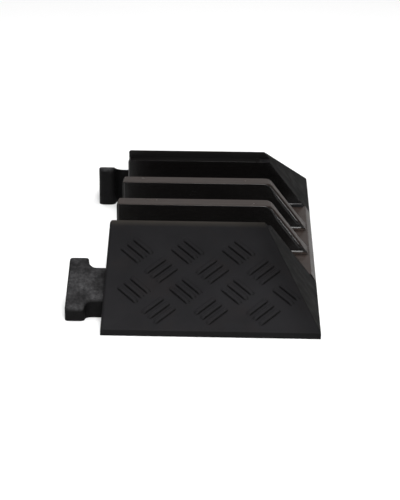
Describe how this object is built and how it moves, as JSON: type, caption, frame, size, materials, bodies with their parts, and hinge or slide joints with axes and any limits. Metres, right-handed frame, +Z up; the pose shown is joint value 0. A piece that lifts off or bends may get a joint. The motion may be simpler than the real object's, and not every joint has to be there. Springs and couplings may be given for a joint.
{
  "type": "cable protector ramp end section",
  "caption": "Sloped rubber end section of a cable protector: open cable channels between treaded side ramps, with T-shaped connector tongues on the joining face.",
  "frame": {"origin": "middle of the whole part's footprint, on the ground", "axes": "+X along the cable channels towards the sloped end, away from the connector tongues; +Y across the channels towards the rear ramp; +Z up"},
  "size_m": [0.25, 0.5, 0.075],
  "materials": {
    "ramp_rubber": "matt black moulded rubber with a fine grain",
    "channel_rubber": "semi-gloss brownish-black moulded rubber",
    "tongue_rubber": "dusty, scuffed black rubber",
    "zinc_steel": "bright zinc-plated steel",
    "insert_brass": "plain turned brass"
  },
  "bodies": {
    "root": {"front_ramp": "ramp_rubber", "rear_ramp": "ramp_rubber", "channel_floor": "channel_rubber", "front_divider": "channel_rubber", "rear_divider": "channel_rubber", "front_connector_tongue": "tongue_rubber", "rear_connector_tongue": "tongue_rubber", "ramp_screws": "zinc_steel", "divider_screws": "zinc_steel", "tongue_screws": "zinc_steel", "ramp_washers": "zinc_steel", "divider_washers": "zinc_steel", "tongue_washers": "zinc_steel", "ramp_inserts": "insert_brass", "divider_inserts": "insert_brass", "tongue_inserts": "insert_brass"}
  },
  "joints": []
}
